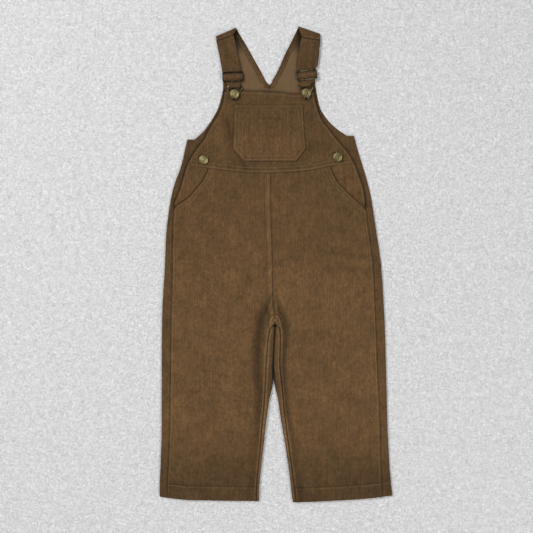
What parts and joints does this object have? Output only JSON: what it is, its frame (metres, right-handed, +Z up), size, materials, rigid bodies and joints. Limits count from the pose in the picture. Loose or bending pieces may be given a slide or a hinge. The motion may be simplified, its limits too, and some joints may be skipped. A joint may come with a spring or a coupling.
{
  "type": "toddler overalls",
  "caption": "Toddler overalls in fine-wale corduroy laid flat front up, with bib pocket, slanted hand pockets, adjustable straps, wire buckles and straight wide legs",
  "frame": {"origin": "centre of the underside's bounding box, on the surface that the garment lies on", "axes": "+X to the right of the garment as seen from above, +Y from the hems to the shoulders, +Z up off the surface"},
  "size_m": [0.3366, 0.6875, 0.0095],
  "materials": {
    "corduroy": "fine wale corduroy, brown, soft pile",
    "lining": "plain woven cotton, light brown",
    "thread": "twisted sewing thread, brown",
    "dark_metal": "dark antique plating, worn edges",
    "aged_brass": "antique brass, brushed, dull"
  },
  "bodies": {
    "root": {"front_bib": "corduroy", "bib_pocket": "corduroy", "front_leg_left": "corduroy", "front_leg_right": "corduroy", "pocket_facing_left": "corduroy", "pocket_facing_right": "corduroy", "back_leg_left": "corduroy", "back_leg_right": "corduroy", "back_bib_left": "corduroy", "back_bib_right": "corduroy", "back_lining_left": "lining", "back_lining_right": "lining", "neck_border_left": "corduroy", "neck_border_right": "corduroy", "strap_left": "corduroy", "strap_right": "corduroy", "slider_left": "dark_metal", "slider_right": "dark_metal", "buckle_left": "aged_brass", "buckle_right": "aged_brass", "bib_button_left": "aged_brass", "bib_button_right": "aged_brass", "side_button_left": "aged_brass", "side_button_right": "aged_brass"}
  },
  "joints": []
}
